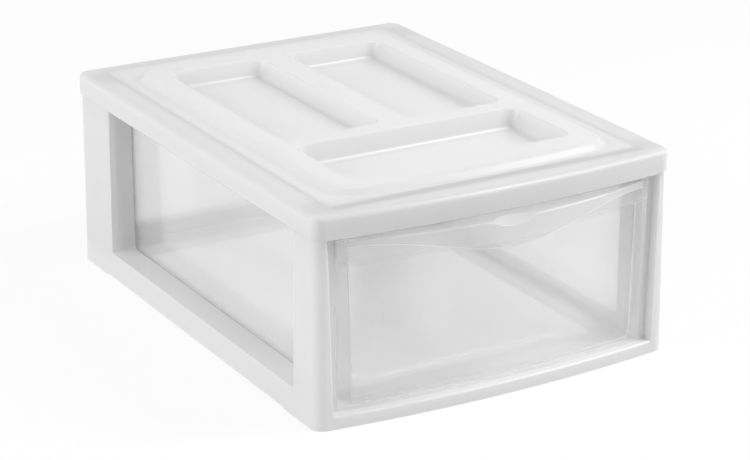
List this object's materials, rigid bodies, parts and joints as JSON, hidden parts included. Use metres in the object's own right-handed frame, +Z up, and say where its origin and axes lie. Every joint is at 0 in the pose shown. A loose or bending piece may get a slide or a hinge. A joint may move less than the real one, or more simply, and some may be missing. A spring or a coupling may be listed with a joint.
{
  "type": "stackable drawer box",
  "caption": "Stackable drawer box: milky frame with open windows, a tray-topped cover and a clear slide-out drawer with a curved pull.",
  "frame": {"origin": "middle of the whole box's footprint, pull included, at table level", "axes": "+X to the right seen from the front, +Y from the drawer front to the back, +Z up"},
  "size_m": [0.3, 0.4208, 0.1655],
  "materials": {
    "milky_casing": "satin",
    "clear_drawer": "clear, slightly hazy"
  },
  "bodies": {
    "casing": {"base_frame": "milky_casing", "top_cover": "milky_casing"},
    "drawer": {"drawer": "clear_drawer"}
  },
  "joints": [
    {"name": "drawer_slide", "type": "slide", "parent": "casing", "child": "drawer", "axis": [0, -1, 0], "range_m": [0, 0.27]}
  ]
}
